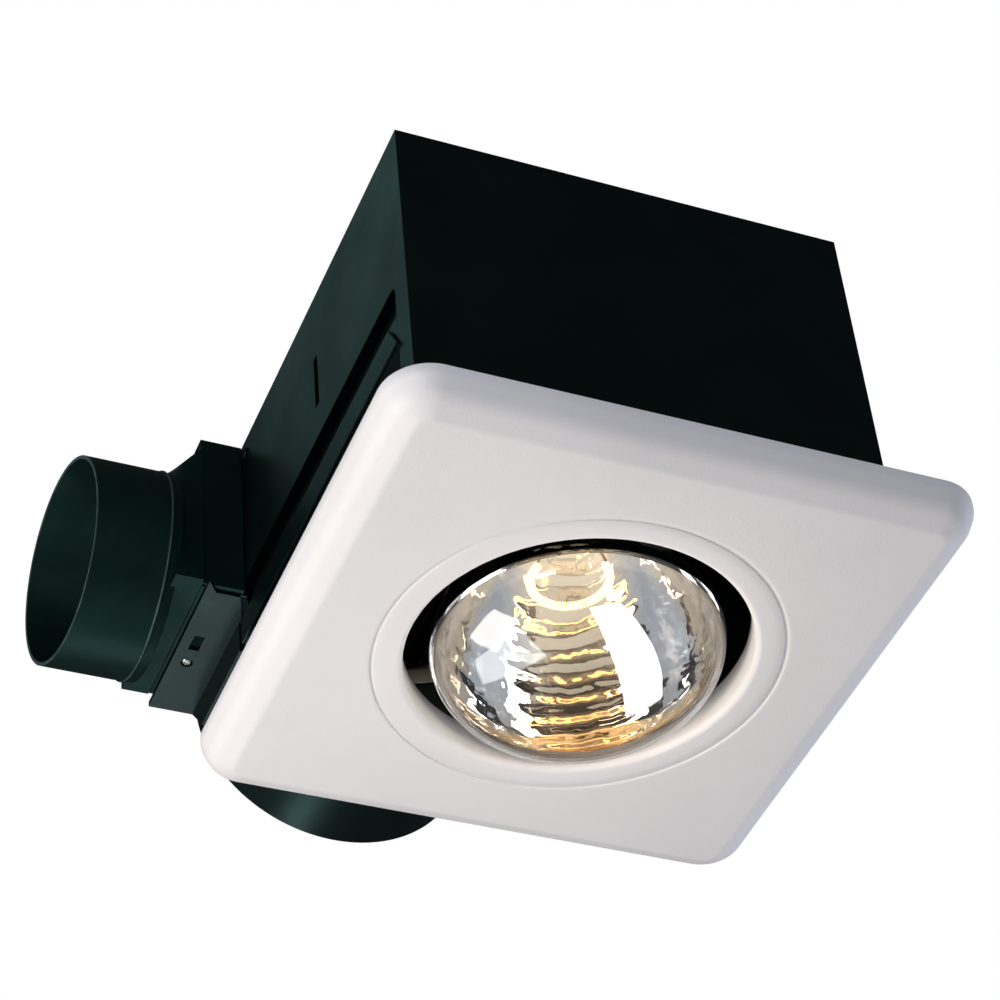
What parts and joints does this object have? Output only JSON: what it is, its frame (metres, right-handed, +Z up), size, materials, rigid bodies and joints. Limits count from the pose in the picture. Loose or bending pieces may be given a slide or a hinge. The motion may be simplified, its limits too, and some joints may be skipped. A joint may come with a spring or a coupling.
{
  "type": "bathroom ceiling heater",
  "caption": "Square recessed ceiling heater: a reflector lamp in a round opening, a steel housing above, and a side blower that exhausts through a round duct collar.",
  "frame": {"origin": "on the lamp's axis, in the face plane of the ceiling, where the trim's rim meets it", "axes": "+Z up into the ceiling, -X towards the duct collar, +Y from the lamp towards the blower"},
  "size_m": [0.327, 0.3431, 0.2105],
  "materials": {
    "black_paint": "satin",
    "galvanised": "satin",
    "bright_steel": "polished",
    "dark_steel": "matte",
    "shield_aluminium": "bright",
    "black_plastic": "satin",
    "white_plastic": "fine grained",
    "porcelain": "glazed",
    "brass": "bright",
    "bronze": "matte",
    "copper_winding": "varnished",
    "lamp_glass": "clear, silvered inside above the waist",
    "tungsten": "glowing",
    "green_steel": "dyed"
  },
  "bodies": {
    "housing_assembly": {"housing": "black_paint", "side_rail": "black_paint", "wall_screw": "bright_steel", "scroll_wrap": "black_paint", "scroll_front_plate": "black_paint", "scroll_back_plate": "galvanised", "blower_screw_1": "bright_steel", "blower_screw_2": "bright_steel", "inlet_ring": "galvanised", "motor_stator": "dark_steel", "motor_coil": "copper_winding", "motor_strap_front": "galvanised", "motor_strap_rear": "galvanised", "bearing_front": "bronze", "bearing_rear": "bronze", "motor_bolt_1": "bright_steel", "motor_bolt_2": "bright_steel", "motor_cover": "black_paint", "cover_screw_1": "bright_steel", "cover_screw_2": "bright_steel", "outlet_bracket": "black_paint", "duct_connector": "black_plastic", "connector_screw": "bright_steel", "damper_pin": "bright_steel", "lampholder_shell": "brass", "lampholder_body": "porcelain", "lampholder_contact": "brass", "lampholder_bracket": "galvanised", "lampholder_screw_1": "bright_steel", "lampholder_screw_2": "bright_steel", "heat_shield": "shield_aluminium", "thermal_cutout": "bright_steel", "wiring_cover": "galvanised", "wiring_cover_screw": "bright_steel", "ground_screw": "green_steel", "blower_receptacle": "white_plastic", "blower_plug": "black_plastic", "cable_clamp": "black_plastic", "lead_grommet": "black_plastic", "lamp_lead_1": "black_plastic", "lamp_lead_2": "black_plastic", "motor_lead": "black_plastic"},
    "blower_rotor": {"blower_wheel": "galvanised", "wheel_hub": "bright_steel", "motor_shaft": "bright_steel", "motor_rotor": "dark_steel"},
    "damper": {"damper_flap": "galvanised"},
    "trim": {"trim_panel": "white_plastic", "trim_clip_near": "bright_steel", "trim_clip_far": "bright_steel", "trim_clip_screw_near": "bright_steel", "trim_clip_screw_far": "bright_steel"},
    "lamp": {"lamp_bulb": "lamp_glass", "lamp_base": "brass", "lamp_contact": "bright_steel", "lamp_stem": "lamp_glass", "lamp_filament": "tungsten", "lamp_support_wire_1": "dark_steel", "lamp_support_wire_2": "dark_steel"}
  },
  "joints": [
    {"name": "blower_spin", "type": "hinge", "parent": "housing_assembly", "child": "blower_rotor", "pos_m": [-0.046, 0.13, 0.082], "axis": [0, 1, 0], "continuous": true},
    {"name": "damper_swing", "type": "hinge", "parent": "housing_assembly", "child": "damper", "pos_m": [-0.163, 0.137, 0.12], "axis": [0, 1, 0], "range_deg": [0, 75]},
    {"name": "trim_drop", "type": "slide", "parent": "housing_assembly", "child": "trim", "axis": [0, 0, -1], "range_m": [0, 0.06]},
    {"name": "lamp_withdraw", "type": "slide", "parent": "housing_assembly", "child": "lamp", "axis": [0, 0, -1], "range_m": [0, 0.1]}
  ]
}
